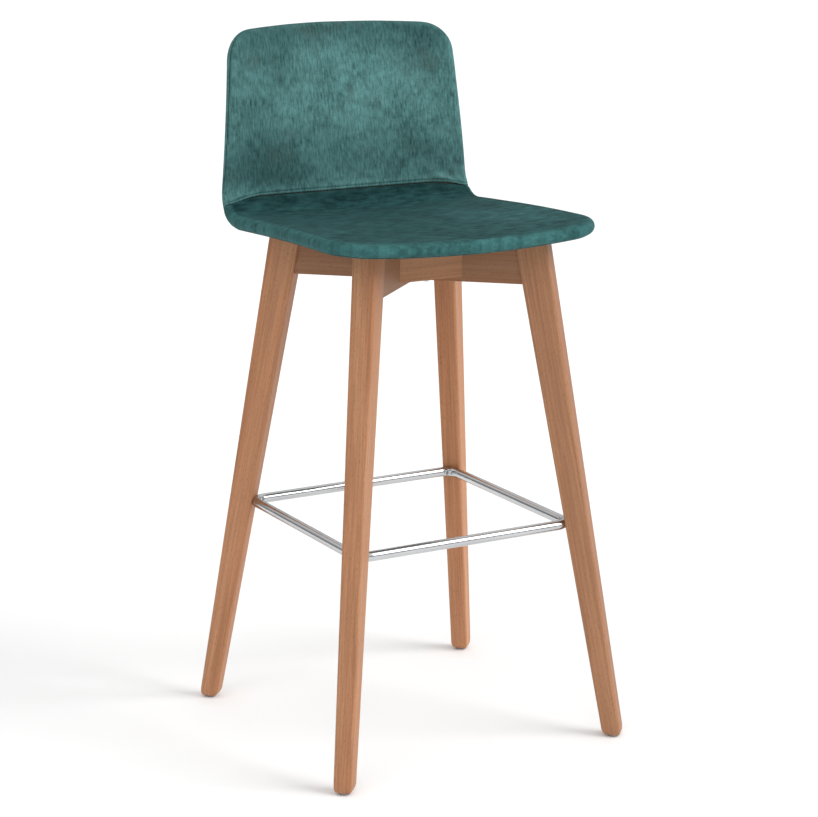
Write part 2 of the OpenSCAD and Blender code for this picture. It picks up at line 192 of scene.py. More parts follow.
def make_floor():
    """A flat sheet under the stool, large enough to reach past the view."""
    bm = bmesh.new()
    bmesh.ops.create_grid(bm, x_segments=1, y_segments=1, size=FLOOR_SIZE / 2)
    mesh = bpy.data.meshes.new("studio_floor")
    bm.to_mesh(mesh)
    bm.free()
    floor = bpy.data.objects.new("studio_floor", mesh)
    bpy.context.scene.collection.objects.link(floor)
    paper = bpy.data.materials.new("pale_paper")
    paper.use_nodes = True
    skin = paper.node_tree.nodes["Principled BSDF"]
    skin.inputs["Base Color"].default_value = (0.93, 0.93, 0.93, 1)
    skin.inputs["Roughness"].default_value = 0.9
    skin.inputs["Specular IOR Level"].default_value = 0.1
    mesh.materials.append(paper)


def make_sky():
    """A world that lights the stool from a sky, bright overhead and greyer towards
    the horizon, and shows a plain backdrop where it is seen directly."""
    world = bpy.data.worlds.new("studio_sky")
    world.use_nodes = True
    tree = world.node_tree
    tree.nodes.clear()
    where = put(tree, "TexCoord").outputs["Generated"]
    way = put(tree, "SeparateXYZ", {0: where}).outputs
    lift = between(tree, way["Z"], 0.05, 0.55)
    left = between(tree, way["X"], -0.35, -0.75)
    low = between(tree, way["Z"], 0.62, 0.30)
    shade = blend_colours(tree, lift, SKY_HORIZON, SKY_TOP)
    screen = blend_colours(tree, calc(tree, "MULTIPLY", left, low), shade, SKY_LEFT)
    glow = put(tree, "Background", {"Color": screen, "Strength": SKY_STRENGTH})
    plain = put(tree, "Background", {"Color": BACKDROP, "Strength": 1.0})
    seen = put(tree, "LightPath").outputs["Is Camera Ray"]
    wires = {0: seen, 1: glow.outputs[0], 2: plain.outputs[0]}
    put(tree, "OutputWorld", {"Surface": put(tree, "MixShader", wires).outputs[0]})
    bpy.context.scene.world = world


def make_sun(name, azimuth, elevation, strength, softness):
    """A soft sun that shines from the given direction, in degrees."""
    back = direction(azimuth, elevation)
    data = bpy.data.lights.new(name, "SUN")
    data.energy = strength
    data.angle = math.radians(softness)
    sun = bpy.data.objects.new(name, data)
    bpy.context.scene.collection.objects.link(sun)
    sun.rotation_euler = back.to_track_quat("Z", "Y").to_euler()


make_floor()
make_sky()
make_sun("key_light", 46, 36, 1.75, 34)
make_sun("fill_light", -50, 34, 0.70, 60)
bpy.context.scene.view_settings.view_transform = "Standard"
print("studio: a floor, a sky and two suns")

# %% [markdown]
# ## Beech
#
# Beech is a plain, pale, slightly pink wood. Up close it has fine lines that run along
# the board, slow changes of tone between the growth rings, and short dark flecks a few
# millimetres long, which are the rays. All of it is stretched along the grain, so each
# piece turns the pattern until the grain runs along the piece, as a joiner cuts it.
# The pattern is a node group, because the legs, rails, blocks and plywood share it.

# %% The wood figure group
def make_wood_figure():
    """Growth bands, fine lines and ray flecks, with the grain along Z."""
    tree, into, out = new_group(
        "wood_figure",
        [
            ("Vector", "NodeSocketVector", None),
            ("Fleck Amount", "NodeSocketFloat", 0.5),
            ("Band Scale", "NodeSocketFloat", 26.0),
        ],
        [
            ("Bands", "NodeSocketFloat"),
            ("Lines", "NodeSocketFloat"),
            ("Flecks", "NodeSocketFloat"),
            ("Height", "NodeSocketFloat"),
        ],
    )
    where = into.outputs["Vector"]
    slow = clouds(
        tree, stretched(tree, where, (1, 1, 0.06)), into.outputs["Band Scale"], 2
    )
    bands = between(tree, slow, 0.34, 0.66)
    fine = clouds(tree, stretched(tree, where, (1, 1, 0.015)), 330, 4, 0.65)
    lines = between(tree, fine, 0.36, 0.66)
    ray = clouds(tree, stretched(tree, where, (1, 1, 0.22)), 900, 2)
    spots = between(tree, ray, 0.56, 0.72)
    flecks = calc(tree, "MULTIPLY", spots, into.outputs["Fleck Amount"])
    dents = calc(tree, "MULTIPLY", flecks, -0.6)
    height = calc(tree, "ADD", dents, calc(tree, "MULTIPLY", lines, 0.5))
    for label, value in (
        ("Bands", bands),
        ("Lines", lines),
        ("Flecks", flecks),
        ("Height", height),
    ):
        tree.links.new(value, out.inputs[label])
    return tree


WOOD_FIGURE = make_wood_figure()
print("group:", WOOD_FIGURE.name, "with", len(WOOD_FIGURE.nodes), "nodes")

# %% Beech for one piece
BEECH_PALE, BEECH_DEEP = (210, 153, 112), (192, 131, 90)
BEECH_FLECK = paint(112, 70, 44)
WOOD_TONE = 0.92
WOOD_TONES_AND_SHADE = {  # boards that are brighter or darker than that
    "leg_front_right": 0.86,
    "leg_back_left": 0.94,
    "leg_back_right": 0.99,
    # the two cross rails are darker as painted shade from the seat above them
    "cross_rail_lower": 0.79,
    "cross_rail_upper": 0.79,
}


def use_group(tree, group, wires):
    """Places a node group in a material and wires its inputs."""
    made = tree.nodes.new("ShaderNodeGroup")
    made.node_tree = group
    for name, value in wires.items():
        if isinstance(value, bpy.types.NodeSocket):
            tree.links.new(value, made.inputs[name])
        else:
            made.inputs[name].default_value = value
    return made


def new_material(name):
    """A material with its Principled shader, ready to be wired."""
    material = bpy.data.materials.new(name)
    material.use_nodes = True
    return material, material.node_tree, material.node_tree.nodes["Principled BSDF"]


def along_grain(tree, grain, offset):
    """Object coordinates, turned so that the grain direction becomes Z."""
    turn = Vector(grain).normalized().rotation_difference(Vector((0, 0, 1)))
    where = put(tree, "TexCoord").outputs["Object"]
    wires = {"Vector": where, "Rotation": turn.to_euler(), "Location": offset}
    return put(tree, "Mapping", wires).outputs[0]


def make_beech(name, grain, offset, brightness):
    """Lacquered beech whose grain runs along the given direction."""
    material, tree, skin = new_material(name)
    pale, deep = (paint(*(brightness * c for c in tone)) for tone in (BEECH_PALE, BEECH_DEEP))
    where = along_grain(tree, grain, offset)
    figure = use_group(tree, WOOD_FIGURE, {"Vector": where, "Fleck Amount": 0.75})
    tone = blend_colours(tree, figure.outputs["Bands"], deep, pale)
    hollow = between(tree, figure.outputs["Lines"], 0, 1, 0.40, 0.0)
    lined = blend_colours(tree, hollow, tone, BEECH_FLECK)
    colour = blend_colours(
        tree, calc(tree, "MULTIPLY", figure.outputs["Flecks"], 0.6), lined, BEECH_FLECK
    )
    tree.links.new(colour, skin.inputs["Base Color"])
    sheen = between(tree, figure.outputs["Lines"], 0.0, 1.0, 0.46, 0.58)
    tree.links.new(sheen, skin.inputs["Roughness"])
    wires = {"Height": figure.outputs["Height"], "Strength": 0.12, "Distance": 0.0004}
    bump = put(tree, "Bump", wires)
    tree.links.new(bump.outputs[0], skin.inputs["Normal"])
    skin.inputs["Specular IOR Level"].default_value = 0.35
    return material


print("boards with a tone of their own:", len(WOOD_TONES_AND_SHADE))

# %% Which way each wooden piece's grain runs
def long_axis(node):
    """The direction in which a workshop part's points spread the furthest."""
    points = np.array([v.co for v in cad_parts[node].data.vertices])
    spread = np.cov((points - points.mean(0)).T)
    values, directions = np.linalg.eigh(spread)
    return Vector(directions[:, values.argmax()])


def dress(node, material):
    """Gives a workshop part one material."""
    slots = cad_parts[node].data.materials
    slots.clear()
    slots.append(material)


GRAIN = {
    "leg_front_left": long_axis("leg_front_left"),
    "leg_front_right": long_axis("leg_front_right"),
    "leg_back_left": long_axis("leg_back_left"),
    "leg_back_right": long_axis("leg_back_right"),
    "cross_rail_lower": long_axis("cross_rail_lower"),
    "cross_rail_upper": long_axis("cross_rail_upper"),
    "corner_block_front": (1, 0, 0),
    "corner_block_back": (1, 0, 0),
    "corner_block_left": (0, 1, 0),
    "corner_block_right": (0, 1, 0),
    "leg_dowels": (1, 1, 0),
}
for number, (node, grain) in enumerate(GRAIN.items()):
    offset = (0.31 * number, 0.17 * number, 0.23 * number)
    brightness = WOOD_TONES_AND_SHADE.get(node, WOOD_TONE)
    dress(node, make_beech("beech_" + node, grain, offset, brightness))
print("beech pieces:", len(GRAIN))

# %% [markdown]
# ## Metal, plastic and rubber
#
# The footrest is a steel tube with a bright chrome plating. Chrome is almost a mirror,
# and what keeps it from looking like a drawing is a very faint unevenness and a few
# hairline wipe marks. The screws and bolts have a duller zinc plating. The foot glides
# are moulded grey plastic with a fine grain, and the pads under the shell are rubber.
# All four share one group of fine marks, each with its own strength.

# %% The surface marks group
def make_surface_marks():
    """Fine hairlines and soft patches, for metal and moulded parts."""
    tree, into, out = new_group(
        "surface_marks",
        [
            ("Vector", "NodeSocketVector", None),
            ("Hairline Scale", "NodeSocketFloat", 600.0),
            ("Patch Scale", "NodeSocketFloat", 30.0),
        ],
        [
            ("Hairlines", "NodeSocketFloat"),
            ("Patches", "NodeSocketFloat"),
            ("Height", "NodeSocketFloat"),
        ],
    )
    where = into.outputs["Vector"]
    wiped = stretched(tree, where, (1, 1, 0.08))
    hair = clouds(tree, wiped, into.outputs["Hairline Scale"], 2)
    hairlines = between(tree, hair, 0.52, 0.70)
    patch = clouds(tree, where, into.outputs["Patch Scale"], 4)
    patches = between(tree, patch, 0.35, 0.70)
    height = calc(tree, "ADD", calc(tree, "MULTIPLY", patches, 0.6), hairlines)
    tree.links.new(hairlines, out.inputs["Hairlines"])
    tree.links.new(patches, out.inputs["Patches"])
    tree.links.new(height, out.inputs["Height"])
    return tree


SURFACE_MARKS = make_surface_marks()


def make_hard_finish(name, clean, worn, metallic, smooth, rough, marks, bump_strength):
    """A metal, plastic or rubber finish with fine marks.
    clean and worn are its two colours, smooth and rough its two roughnesses, and
    marks the scales of hairlines and patches."""
    material, tree, skin = new_material(name)
    where = put(tree, "TexCoord").outputs["Object"]
    wires = {"Vector": where, "Hairline Scale": marks[0], "Patch Scale": marks[1]}
    group = use_group(tree, SURFACE_MARKS, wires)
    colour = blend_colours(tree, group.outputs["Patches"], clean, worn)
    tree.links.new(colour, skin.inputs["Base Color"])
    gloss = between(tree, group.outputs["Hairlines"], 0, 1, smooth, rough)
    tree.links.new(gloss, skin.inputs["Roughness"])
    wires = {"Height": group.outputs["Height"], "Strength": bump_strength}
    wires["Distance"] = 0.0002
    tree.links.new(put(tree, "Bump", wires).outputs[0], skin.inputs["Normal"])
    skin.inputs["Metallic"].default_value = metallic
    return material


CHROME = make_hard_finish(
    "polished_chrome", (0.60, 0.61, 0.62, 1), (0.52, 0.53, 0.54, 1),
    1.0, 0.15, 0.20, (500, 14), 0.04,
)
ZINC = make_hard_finish(
    "zinc_plating", (0.62, 0.63, 0.65, 1), (0.48, 0.49, 0.51, 1),
    1.0, 0.26, 0.40, (1400, 160), 0.12,
)
GLIDE_PLASTIC = make_hard_finish(
    "grey_moulded_plastic", paint(150, 150, 152), paint(120, 120, 122),
    0.0, 0.45, 0.62, (2200, 260), 0.25,
)
PAD_RUBBER = make_hard_finish(
    "black_rubber", paint(44, 44, 46), paint(58, 57, 57),
    0.0, 0.70, 0.85, (1800, 220), 0.30,
)
for node, material in {
    "footrest_ring": CHROME,
    "footrest_screws": ZINC,
    "glide_nails": ZINC,
    "shell_tee_nuts": ZINC,
    "seat_bolts": ZINC,
    "seat_washers": ZINC,
    "foot_glides": GLIDE_PLASTIC,
    "spacer_pads": PAD_RUBBER,
}.items():
    dress(node, material)
print("hard finishes:", [m.name for m in (CHROME, ZINC, GLIDE_PLASTIC, PAD_RUBBER)])

# %% [markdown]
# ## Plywood
#
# The shell under the velvet is moulded from beech veneers. It hardly shows, so it
# uses the wood figure again, paler, with its grain running up the shell.

# %% Dress the moulded shell
PLY_TONE = 1.06
dress(
    "seat_shell",
    make_beech("moulded_plywood", (0, 0, 1), (0.9, 0.4, 0), PLY_TONE),
)

# %% [markdown]
# ## Velvet
#
# The cloth is a vintage-look velvet. Its pile is short and brushed, and has been
# pressed flat in places, so it has cloudy lighter and darker patches, a few brownish
# ones, and fine streaks in the direction of the brushing. On the back the pile is
# brushed up and down. On the seat it is brushed across, and the seat's velvet is a
# darker copy of the same cloth: painted shade, for a pile that lies away from the
# light. Where it rolls over the edge the colour is painted lighter, a painted sheen of
# the opened pile. Soft darker and lighter spots are painted on, with painted shade
# along the seam and under the fold.
# The pattern follows the cloth's own coordinates, which the covers carry.

# %% The pile pattern group
def make_pile_pattern():
    """Cloudy patches, brushed streaks and the grain of a short pile."""
    tree, into, out = new_group(
        "pile_pattern",
        [
            ("Vector", "NodeSocketVector", None),
            ("Brushing", "NodeSocketVector", (1.0, 0.12, 1.0)),
        ],
        [
            ("Patches", "NodeSocketFloat"),
            ("Mottle", "NodeSocketFloat"),
            ("Stains", "NodeSocketFloat"),
            ("Streaks", "NodeSocketFloat"),
            ("Grain", "NodeSocketFloat"),
            ("Cracks", "NodeSocketFloat"),
            ("Height", "NodeSocketFloat"),
        ],
    )
    where = into.outputs["Vector"]
    brushed = stretched(tree, where, into.outputs["Brushing"])
    patches = between(tree, clouds(tree, where, 15, 7, 0.68), 0.34, 0.66)
    mottle = between(tree, clouds(tree, where, 75, 5, 0.72), 0.36, 0.64)
    shifted = put(tree, "VectorMath", {0: where, 1: (7.3, 2.9, 0)}, operation="ADD")
    stains = between(tree, clouds(tree, shifted.outputs[0], 17, 5, 0.65), 0.54, 0.70)
    streaks = between(tree, clouds(tree, brushed, 330, 3, 0.6), 0.34, 0.68)
    grain = between(tree, clouds(tree, where, 1150, 2, 0.6), 0.30, 0.70)
    marks = clouds(tree, stretched(tree, brushed, (1.0, 2.5, 1.0)), 420, 4, 0.7)
    cracks = between(tree, marks, 0.54, 0.66)
    cracks = calc(tree, "MULTIPLY", cracks, between(tree, stains, 0, 1, 0.35, 1.0))
    height = calc(tree, "ADD", calc(tree, "MULTIPLY", streaks, 0.6), grain)
    for label, value in (
        ("Patches", patches),
        ("Mottle", mottle),
        ("Stains", stains),
        ("Streaks", streaks),
        ("Grain", grain),
        ("Cracks", cracks),
        ("Height", height),
    ):
        tree.links.new(value, out.inputs[label])
    return tree


PILE_PATTERN = make_pile_pattern()
print("group:", PILE_PATTERN.name, "with", len(PILE_PATTERN.nodes), "nodes")

# %% Velvet in one colour
CRACK_COLOUR = paint(40, 58, 54)
CRACK_AMOUNT, STAIN_AMOUNT = 0.55, 0.45
PILE_SHARES = {"Patches": 0.34, "Mottle": 0.24, "Streaks": 0.26, "Grain": 0.16}
STREAK_CONTRAST = 0.07


def make_velvet(name, dark, light, stain, brushing, level, sheen_lift):
    """Velvet between a dark and a light tone, with stained patches. level is how
    light its flat parts are, lower on the seat as painted shade, and the last
    argument how much lighter the colour is painted where the cloth rolls, a painted sheen."""
    material, tree, skin = new_material(name)
    where = put(tree, "UVMap", uv_map="cloth").outputs[0]
    pile = use_group(tree, PILE_PATTERN, {"Vector": where, "Brushing": brushing})
    tone = 0.0
    for part, share in PILE_SHARES.items():
        tone = calc(tree, "ADD", tone, calc(tree, "MULTIPLY", pile.outputs[part], share))
    # The attribute read here darkens the cloth: painted shade along the seam and under the fold, and
    # soft darker or lighter spots.
    spots_and_shade = put(tree, "Attribute", attribute_name="spots_and_shade").outputs["Fac"]
    pile_lightness = calc(tree, "MULTIPLY", calc(tree, "SUBTRACT", 1.0, spots_and_shade), level)
    tone = calc(tree, "MULTIPLY", tone, pile_lightness)
    ends = (-STREAK_CONTRAST, STREAK_CONTRAST)
    brushed = between(tree, pile.outputs["Streaks"], 0, 1, *ends)
    tone = calc(tree, "ADD", tone, brushed)
    # The rolled edge is painted lighter: a painted sheen of the opened pile.
    rolled = put(tree, "Attribute", attribute_name="rolled_edge_sheen").outputs["Fac"]
    cloudy = calc(tree, "ADD", pile.outputs["Patches"], pile.outputs["Mottle"])
    painted_sheen = between(tree, cloudy, 0.3, 1.7, 0.35 * sheen_lift, sheen_lift)
    tone = calc(tree, "ADD", tone, calc(tree, "MULTIPLY", rolled, painted_sheen))
    colour = blend_colours(tree, tone, dark, light)
    amount = calc(tree, "MULTIPLY", pile.outputs["Cracks"], CRACK_AMOUNT)
    colour = blend_colours(tree, amount, colour, CRACK_COLOUR)
    amount = calc(tree, "MULTIPLY", pile.outputs["Stains"], STAIN_AMOUNT)
    colour = blend_colours(tree, amount, colour, stain)
    tree.links.new(colour, skin.inputs["Base Color"])
    rough = between(tree, pile.outputs["Grain"], 0, 1, 0.78, 0.92)
    tree.links.new(rough, skin.inputs["Roughness"])
    wires = {"Height": pile.outputs["Height"], "Strength": 0.35, "Distance": 0.0005}
    tree.links.new(put(tree, "Bump", wires).outputs[0], skin.inputs["Normal"])
    skin.inputs["Specular IOR Level"].default_value = 0.12
    skin.inputs["Sheen Weight"].default_value = 0.08
    skin.inputs["Sheen Roughness"].default_value = 0.45
    skin.inputs["Sheen Tint"].default_value = paint(150, 200, 200)
    return material


UP_AND_DOWN, ACROSS = (1.0, 0.20, 1.0), (0.10, 0.28, 1.0)
VELVETS = {
    "back": make_velvet(
        "velvet_back", paint(28, 60, 60), paint(104, 156, 154), paint(62, 80, 76), UP_AND_DOWN, 1.0, 0.05
    ),
    # the seat's velvet is a darker copy of the same cloth with a low level: painted shade for a pile
    # that lies away from the light
    "seat": make_velvet(
        "velvet_seat_shaded", paint(2, 35, 37), paint(72, 126, 125), paint(22, 46, 44), ACROSS, 0.38, 0.48
    ),
    "rear": make_velvet(
        "velvet_rear", paint(28, 60, 60), paint(92, 144, 142), paint(54, 74, 70), UP_AND_DOWN, 1.0, 0.05
    ),
}
print("velvets:", sorted(VELVETS))

# %% [markdown]
# ## The shape of the shell
#
# The seat and back are one bent sheet. Its middle line runs back along the seat, round
# a bend, and up the back. Across, it is wider at the front than at the top, and its
# sides are dished: up at the seat, and forwards at the back. The maker's drawing gives
# it as a few lengths and angles, so the soft covers are laid on the very same surface.
# A point on it is named by x, across, and s, along the middle line from the front edge.

# %% The shell's lengths and angles
SEAT_FRONT_Z, SEAT_FRONT, SEAT_DEPTH = 0.773, 0.1975, 0.340
SEAT_SLOPE, FRONT_DROP = math.radians(2.75), 0.009
BEND_R, BACK_LEAN, BACK_BOW, BACK_TOP_Z = 0.062, math.radians(8.5), 0.016, 1.033
HALF_WIDTHS = (0.214, 0.2035, 0.1795)
DISHES = (0.009, 0.006, 0.044)
FRONT_CORNER_R, TOP_CORNER_R = 0.049, 0.030
FRONT_BULGE, TOP_BULGE = 0.012, 0.005
RIM_R = 0.0105

BEND_SWEEP = math.pi / 2 + SEAT_SLOPE - BACK_LEAN
SEAT_LEN = SEAT_DEPTH / math.cos(SEAT_SLOPE)
BEND_LEN = BEND_R * BEND_SWEEP
SEAT_END = Vector((SEAT_DEPTH - SEAT_FRONT, SEAT_FRONT_Z - SEAT_DEPTH * math.tan(SEAT_SLOPE)))
BEND_CENTRE = SEAT_END + BEND_R * Vector((math.sin(SEAT_SLOPE), math.cos(SEAT_SLOPE)))
BACK_START = BEND_CENTRE + BEND_R * Vector((math.cos(BACK_LEAN), -math.sin(BACK_LEAN)))
BACK_LEN = (BACK_TOP_Z - BACK_START.y) / math.cos(BACK_LEAN)
SHELL_LEN = SEAT_LEN + BEND_LEN + BACK_LEN
BEND_MID = SEAT_LEN + BEND_LEN / 2
SEAM_S = SEAT_LEN + 0.77 * BEND_LEN
SEAM_DROOP, DROOP_START = 0.0128, 0.72
print("shell length along its middle:", round(SHELL_LEN, 3), "m")


# %% Points on the shell
def middle_line(s):
    """The middle line's point and direction at s, both as (y, z)."""
    if s < SEAT_LEN:
        q = s / SEAT_LEN
        fall = SEAT_DEPTH * math.tan(SEAT_SLOPE)
        point = (
            SEAT_DEPTH * q - SEAT_FRONT,
            SEAT_FRONT_Z - fall * q - FRONT_DROP * (1 - q) ** 3,
        )
        way = (SEAT_DEPTH, 3 * FRONT_DROP * (1 - q) ** 2 - fall)
    elif s < SEAT_LEN + BEND_LEN:
        a = (s - SEAT_LEN) / BEND_R - math.pi / 2 - SEAT_SLOPE
        point = BEND_CENTRE + BEND_R * Vector((math.cos(a), math.sin(a)))
        way = (-math.sin(a), math.cos(a))
    else:
        q = (s - SEAT_LEN - BEND_LEN) / BACK_LEN
        run = BACK_LEN * math.sin(BACK_LEAN)
        rise = BACK_LEN * math.cos(BACK_LEAN)
        point = BACK_START + Vector((run * q + BACK_BOW * q * q, rise * q))
        way = (run + 2 * BACK_BOW * q, rise)
    return Vector(point), Vector(way).normalized()


def evenly(s, values):
    """A value that runs from front to bend and from bend to top."""
    front, bend, top = values
    if s < BEND_MID:
        return front + (bend - front) * s / BEND_MID
    return bend + (top - bend) * (s - BEND_MID) / (SHELL_LEN - BEND_MID)


def shell_frame(x, s):
    """A point on the middle surface, with the directions across it, up it, and out
    of its sitting side."""
    point, way = middle_line(s)
    w = min(1.0, max(0.0, (s - SEAT_LEN) / BEND_LEN))
    dish_way = Vector((-(1 - w) * way.y - w, (1 - w) * way.x)).normalized()
    half, dish = evenly(s, HALF_WIDTHS), evenly(s, DISHES)
    u = x / half
    slope = math.atan(2 * dish * u / half)
    place = Vector((x, point.x + feet.y, point.y))
    place += dish * u * u * Vector((0, dish_way.x, dish_way.y))
    across = Vector((math.cos(slope), *(math.sin(slope) * dish_way)))
    up = Vector((0, way.x, way.y))
    return place, across, up, across.cross(up).normalized()


def corner_cut(u, width, radius):
    """How much a rounded corner takes off the outline's end at u, from -1 to 1."""
    e = max(0.0, (abs(u) * width - width + radius) / radius)
    return radius * (1 - math.sqrt(max(0.0, 1 - e * e)))


def front_end(u):
    """Where the outline starts, at the front edge."""
    return corner_cut(u, HALF_WIDTHS[0], FRONT_CORNER_R) + FRONT_BULGE * u * u


def top_end(u):
    """Where the outline ends, at the top of the back."""
    cut = corner_cut(u, HALF_WIDTHS[2], TOP_CORNER_R)
    return SHELL_LEN - cut - TOP_BULGE * u * u


def seam_at(u):
    """Where the seam in the fold runs: straight, with its ends pulled down."""
    q = max(0.0, (abs(u) - DROOP_START) / (1 - DROOP_START))
    return SEAM_S - SEAM_DROOP * q * q


print("the seam runs at", round(seam_at(0), 3), "m, and ends at", round(seam_at(1), 3), "m")

# %% [markdown]
# ## The covers
#
# The front is sewn from two panels of velvet, one for the seat and one for the back,
# joined by a seam in the fold. A third panel covers the underside and
# the rear, and meets the front ones in a fine seam that runs all round the rolled edge.
# Under the front panels lies a thin sheet of foam, so they are slightly plump, and the
# edge is round like a finger.
#
# Each cover starts as a flat grid, as cloth does. The grid is laid on the shell's
# surface, and its free edges are extruded round the rim in small steps. A simulation
# of cloth could puff such a pad up, but this cover is stretched tightly over a firm
# shell, so its small dips, puckers and plumpness are pushed in directly instead.

# %% The soft shape of the velvet
SEAM_DIP, SEAM_WIDTH = 0.0022, 0.0026
STITCH_RISE = 0.0050  # the row of stitches, above the seam
STITCH_DIP, STITCH_WIDTH = 0.0016, 0.0013
BUMP_SIZE = 0.0007


def edge_angle(s):
    """Where the front and rear covers meet on the rolled edge, measured from straight
    out: under the edge of the seat, and in front of the edge of the back."""
    q = min(1.0, max(0.0, (s - SEAT_LEN) / (BEND_LEN + 0.03)))
    return math.radians(-76 + 84 * q * q * (3 - 2 * q))


def pucker(x, s):
    """Small creases that fan out from both ends of the seam."""
    height = 0.0
    half = evenly(s, HALF_WIDTHS)
    for side in (-1, 1):
        inward = half - side * x
        rise = s - SEAM_S + SEAM_DROOP
        reach = math.hypot(inward, rise)
        turn = math.atan2(rise, inward)
        fade = math.exp(-(((reach - 0.034) / 0.026) ** 2))
        height += fade * math.sin(11 * turn + 1.7 * side) * 0.0014
    return height


def softness(x, s, panel):
    """How far the velvet stands off its even surface at a point."""
    off = BUMP_SIZE * noise.noise(Vector((x * 14, s * 14, 3.1)))
    off += 0.4 * BUMP_SIZE * noise.noise(Vector((x * 45, s * 45, 7.7)))
    rise = s - seam_at(x / evenly(s, HALF_WIDTHS))
    off -= SEAM_DIP * math.exp(-((rise / SEAM_WIDTH) ** 2))
    off += pucker(x, s)
    if panel == "back":
        off -= STITCH_DIP * math.exp(-(((rise - STITCH_RISE) / STITCH_WIDTH) ** 2))
        ripple = noise.noise(Vector((x * 90, 0.5, 1.0)))
        off += 0.0005 * ripple * math.exp(-(((rise - 0.008) / 0.007) ** 2))
    else:
        ripple = noise.noise(Vector((x * 12, s * 70, 4.0)))
        off += 0.0005 * ripple * math.exp(-((rise / 0.05) ** 2))
    return off


print("depth of the fold's seam in mm:", round(-1000 * softness(0, SEAM_S, "back"), 1))

# %% A cover laid on the shell
EVEN_PART = 0.77


def spread_columns(q):
    """Columns stand evenly in the middle and close up towards the sides."""
    if abs(q) <= EVEN_PART:
        return q
    swing = (abs(q) - EVEN_PART) / (1 - EVEN_PART) * math.pi / 2
    return math.copysign(EVEN_PART + (1 - EVEN_PART) * math.sin(swing), q)


def start_cover(bm, columns, rows, ends, easing, side):
    """Lays a grid on one side of the shell. ends gives s at the first and the last
    row for each u, and easing how the rows are spaced between them."""
    bmesh.ops.create_grid(bm, x_segments=columns, y_segments=rows, size=1)
    spot = bm.verts.layers.float_vector.new("spot")
    for v in bm.verts:
        u = spread_columns(v.co.x)
        first, last = ends(u)
        s = first + (last - first) * easing((v.co.y + 1) / 2)
        x = u * evenly(s, HALF_WIDTHS)
        v[spot] = Vector((x, s, math.pi / 2 * side))
    return spot


def outward_ways(bm, spot, edges):
    """For each vertex on the free edges, the way out of the outline, as (x, s)."""
    ways = {}
    for edge in edges:
        a, b = (Vector(v[spot]).xy for v in edge.verts)
        face = edge.link_faces[0]
        inside = sum((Vector(v[spot]).xy for v in face.verts), Vector((0, 0)))
        inside = inside / len(face.verts)
        along = (b - a).normalized()
        way = Vector((along.y, -along.x))
        if way.dot(a - inside) < 0:
            way = -way
        for v in edge.verts:
            ways.setdefault(v, Vector((0, 0)))
            ways[v] += way
    return {v: way.normalized() for v, way in ways.items()}


def roll_edges(bm, spot, count, is_free, gap):
    """Extrudes the free edges round the rim to the edge seam, in count steps."""
    out = bm.verts.layers.float_vector.new("out")
    edges = [e for e in bm.edges if e.is_boundary and is_free(e, spot)]
    for v, way in outward_ways(bm, spot, edges).items():
        v[out] = Vector((way.x, way.y, 0))
    for step in range(1, count + 1):
        old = set(bm.verts)
        bmesh.ops.extrude_edge_only(bm, edges=edges)
        fresh = {v for v in bm.verts if v not in old}
        edges = [e for e in bm.edges if all(v in fresh for v in e.verts)]
        for v in fresh:
            x, s, angle = v[spot]
            start = math.copysign(math.pi / 2, angle if step == 1 else gap)
            turn = start + (edge_angle(s) + gap - start) * step / count
            v[spot] = Vector((x, s, turn))
    return out


print("cover helpers ready")


# %% Push the cover into its soft shape
EDGE_GAP = math.radians(0.4)
EDGE_TUCK = 0.0006


def shape_cover(bm, spot, out, panel, radius):
    """Moves every vertex to its place: on the flat of the cover, or round the rim."""
    for v in bm.verts:
        x, s, angle = v[spot]
        place, across, up, away = shell_frame(x, s)
        way = v[out]
        outward = way.x * across + way.y * up
        swell = softness(x, s, panel) if panel else 0.0
        if way.length < 0.5:
            v.co = place + math.copysign(radius, angle) * away
            v.co += swell * away
            continue
        tuck = EDGE_TUCK if abs(angle - edge_angle(s)) < 2 * EDGE_GAP else 0.0
        r = radius + 0.6 * swell - tuck
        v.co = place + r * (math.cos(angle) * outward + math.sin(angle) * away)


# The seat's first spot, along the fold, is painted shadow under the fold; the others darken or lighten
# the cloth in soft spots.
TONE_SPOTS_AND_SHADE = {  # darker spots: x, s, width, height and depth, less than 0 if lighter
    "back": (
        (0.0, 0.665, 0.40, 0.038, 0.62), (-0.10, 0.605, 0.034, 0.055, 0.30),
        (-0.16, 0.600, 0.05, 0.05, 0.20), (-0.15, 0.480, 0.07, 0.05, 0.55),
        (-0.11, 0.435, 0.07, 0.02, 0.30), (-0.01, 0.490, 0.05, 0.035, 0.25),
        (0.14, 0.475, 0.07, 0.03, 0.28), (0.15, 0.620, 0.03, 0.04, 0.25),
        (0.0, 0.450, 0.40, 0.030, 0.28), (0.04, 0.560, 0.11, 0.035, -0.14),
    ),
    "seat": (
        (0.0, 0.400, 0.40, 0.024, 0.45), (0.02, 0.33, 0.12, 0.03, 0.25),
        (-0.03, 0.24, 0.10, 0.03, 0.22), (0.15, 0.14, 0.09, 0.10, -0.80),
    ),
    "rear": ((0.08, 0.60, 0.10, 0.06, 0.25), (-0.10, 0.20, 0.10, 0.08, 0.20)),
}
SEAM_SHADE, SEAM_LINE, MOST_DARKENING = 0.55, 0.0013, 0.85
print("spots in the pile:", {panel: len(spots) for panel, spots in TONE_SPOTS_AND_SHADE.items()})


